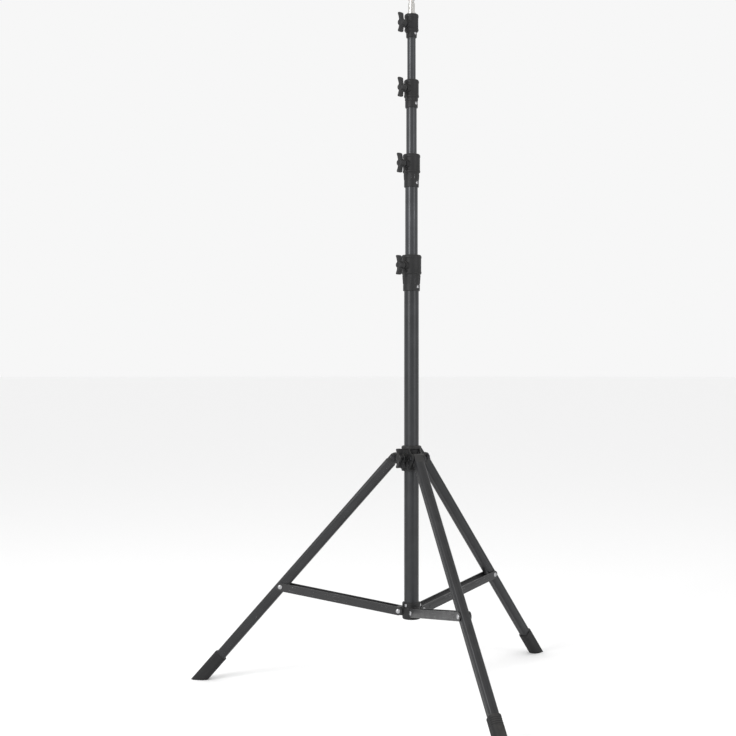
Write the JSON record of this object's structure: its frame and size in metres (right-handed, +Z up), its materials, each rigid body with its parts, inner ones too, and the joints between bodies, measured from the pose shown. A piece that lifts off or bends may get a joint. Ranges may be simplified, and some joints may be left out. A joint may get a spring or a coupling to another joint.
{
  "type": "telescopic light stand",
  "caption": "Free-standing telescopic lighting stand: a folding braced tripod base, sleeve collars with wing-knob clamps and a stud on top for a lamp.",
  "frame": {"origin": "on the column's axis at the level of the floor that the feet stand on", "axes": "+Z up along the column; -Y towards the front leg; +X to the right, seen from the front leg"},
  "size_m": [0.9598, 0.8336, 1.667],
  "materials": {
    "tube_black": "satin black anodised",
    "leg_black": "satin black anodised",
    "casting_black": "fine textured black powder coat",
    "strap_black": "semi-gloss black enamel",
    "plastic_black": "matt moulded nylon",
    "knob_plastic": "lightly textured moulded nylon",
    "acetal": "smooth natural acetal",
    "rubber": "matt black",
    "steel": "zinc plated",
    "steel_black": "black oxide",
    "steel_bright": "turned and nickel plated",
    "brass": "turned"
  },
  "bodies": {
    "column": {"base_tube": "tube_black", "base_plug": "plastic_black", "brace_hub": "casting_black", "base_screws": "steel", "base_collar": "casting_black", "base_collar_liner": "acetal", "base_collar_insert": "brass"},
    "base_collar_lock": {"base_collar_clamp_screw": "steel", "base_collar_knob": "knob_plastic"},
    "riser_1": {"riser_1_tube": "tube_black", "riser_1_guide_bush": "acetal", "collar_1": "casting_black", "collar_1_liner": "acetal", "collar_1_insert": "brass", "collar_1_screws": "steel"},
    "collar_1_lock": {"collar_1_clamp_screw": "steel", "collar_1_knob": "knob_plastic"},
    "riser_2": {"riser_2_tube": "tube_black", "riser_2_guide_bush": "acetal", "collar_2": "casting_black", "collar_2_liner": "acetal", "collar_2_insert": "brass", "collar_2_screws": "steel"},
    "collar_2_lock": {"collar_2_clamp_screw": "steel", "collar_2_knob": "knob_plastic"},
    "riser_3": {"riser_3_tube": "tube_black", "riser_3_guide_bush": "acetal", "top_socket": "casting_black", "top_socket_insert": "brass", "top_socket_screws": "steel"},
    "top_socket_lock": {"top_socket_clamp_screw": "steel", "top_socket_knob": "knob_plastic"},
    "stud": {"spigot": "steel_bright"},
    "leg_slider": {"leg_hub": "casting_black", "leg_hub_liner": "acetal", "leg_hub_insert": "brass", "leg_pivot_bolts": "steel_black", "leg_pivot_nuts": "steel_black"},
    "leg_slider_lock": {"leg_hub_clamp_screw": "steel", "leg_hub_knob": "knob_plastic"},
    "leg_front": {"leg_tube_front": "leg_black", "leg_end_front": "plastic_black", "foot_front": "rubber", "brace_pin_front": "steel"},
    "brace_front": {"brace_straps_front": "strap_black", "brace_rivets_front": "steel"},
    "leg_left": {"leg_tube_left": "leg_black", "leg_end_left": "plastic_black", "foot_left": "rubber", "brace_pin_left": "steel"},
    "brace_left": {"brace_straps_left": "strap_black", "brace_rivets_left": "steel"},
    "leg_right": {"leg_tube_right": "leg_black", "leg_end_right": "plastic_black", "foot_right": "rubber", "brace_pin_right": "steel"},
    "brace_right": {"brace_straps_right": "strap_black", "brace_rivets_right": "steel"}
  },
  "joints": [
    {"name": "leg_spread", "type": "slide", "parent": "column", "child": "leg_slider", "axis": [0, 0, 1], "range_m": [0, 0.352]},
    {"name": "riser_1_slide", "type": "slide", "parent": "column", "child": "riser_1", "axis": [0, 0, 1], "range_m": [-0.16, 0.5]},
    {"name": "riser_2_slide", "type": "slide", "parent": "riser_1", "child": "riser_2", "axis": [0, 0, 1], "range_m": [-0.109, 0.57]},
    {"name": "riser_3_slide", "type": "slide", "parent": "riser_2", "child": "riser_3", "axis": [0, 0, 1], "range_m": [-0.099, 0.6]},
    {"name": "stud_lift", "type": "slide", "parent": "riser_3", "child": "stud", "axis": [0, 0, 1], "range_m": [0, 0.026]},
    {"name": "leg_slider_knob_turn", "type": "hinge", "parent": "leg_slider", "child": "leg_slider_lock", "pos_m": [0, 0, 0.555], "axis": [-0.866, -0.5, 0], "range_deg": [0, 810]},
    {"name": "base_collar_knob_turn", "type": "hinge", "parent": "column", "child": "base_collar_lock", "pos_m": [0, 0, 1.011], "axis": [-0.866, -0.5, 0], "range_deg": [0, 810]},
    {"name": "collar_1_knob_turn", "type": "hinge", "parent": "riser_1", "child": "collar_1_lock", "pos_m": [0, 0, 1.252], "axis": [-0.866, -0.5, 0], "range_deg": [0, 810]},
    {"name": "collar_2_knob_turn", "type": "hinge", "parent": "riser_2", "child": "collar_2_lock", "pos_m": [0, 0, 1.431], "axis": [-0.866, -0.5, 0], "range_deg": [0, 810]},
    {"name": "top_socket_knob_turn", "type": "hinge", "parent": "riser_3", "child": "top_socket_lock", "pos_m": [0, 0, 1.584], "axis": [-0.866, -0.5, 0], "range_deg": [0, 810]},
    {"name": "leg_front_fold", "type": "hinge", "parent": "leg_slider", "child": "leg_front", "pos_m": [0, -0.04, 0.555], "axis": [1, 0, 0], "range_deg": [0, 39]},
    {"name": "brace_front_fold", "type": "hinge", "parent": "column", "child": "brace_front", "pos_m": [0, -0.03, 0.189], "axis": [-1, 0, 0], "range_deg": [0, 75.3]},
    {"name": "leg_left_fold", "type": "hinge", "parent": "leg_slider", "child": "leg_left", "pos_m": [-0.03464, 0.02, 0.555], "axis": [-0.5, -0.866, 0], "range_deg": [0, 39]},
    {"name": "brace_left_fold", "type": "hinge", "parent": "column", "child": "brace_left", "pos_m": [-0.02598, 0.015, 0.189], "axis": [0.5, 0.866, 0], "range_deg": [0, 75.3]},
    {"name": "leg_right_fold", "type": "hinge", "parent": "leg_slider", "child": "leg_right", "pos_m": [0.03464, 0.02, 0.555], "axis": [-0.5, 0.866, 0], "range_deg": [0, 39]},
    {"name": "brace_right_fold", "type": "hinge", "parent": "column", "child": "brace_right", "pos_m": [0.02598, 0.015, 0.189], "axis": [0.5, -0.866, 0], "range_deg": [0, 75.3]}
  ],
  "couplings": [
    {"joint": "leg_front_fold", "follows": "leg_spread", "rad_per_m": 1.9284},
    {"joint": "brace_front_fold", "follows": "leg_spread", "rad_per_m": 3.7296},
    {"joint": "leg_left_fold", "follows": "leg_spread", "rad_per_m": 1.9284},
    {"joint": "brace_left_fold", "follows": "leg_spread", "rad_per_m": 3.7296},
    {"joint": "leg_right_fold", "follows": "leg_spread", "rad_per_m": 1.9284},
    {"joint": "brace_right_fold", "follows": "leg_spread", "rad_per_m": 3.7296}
  ]
}
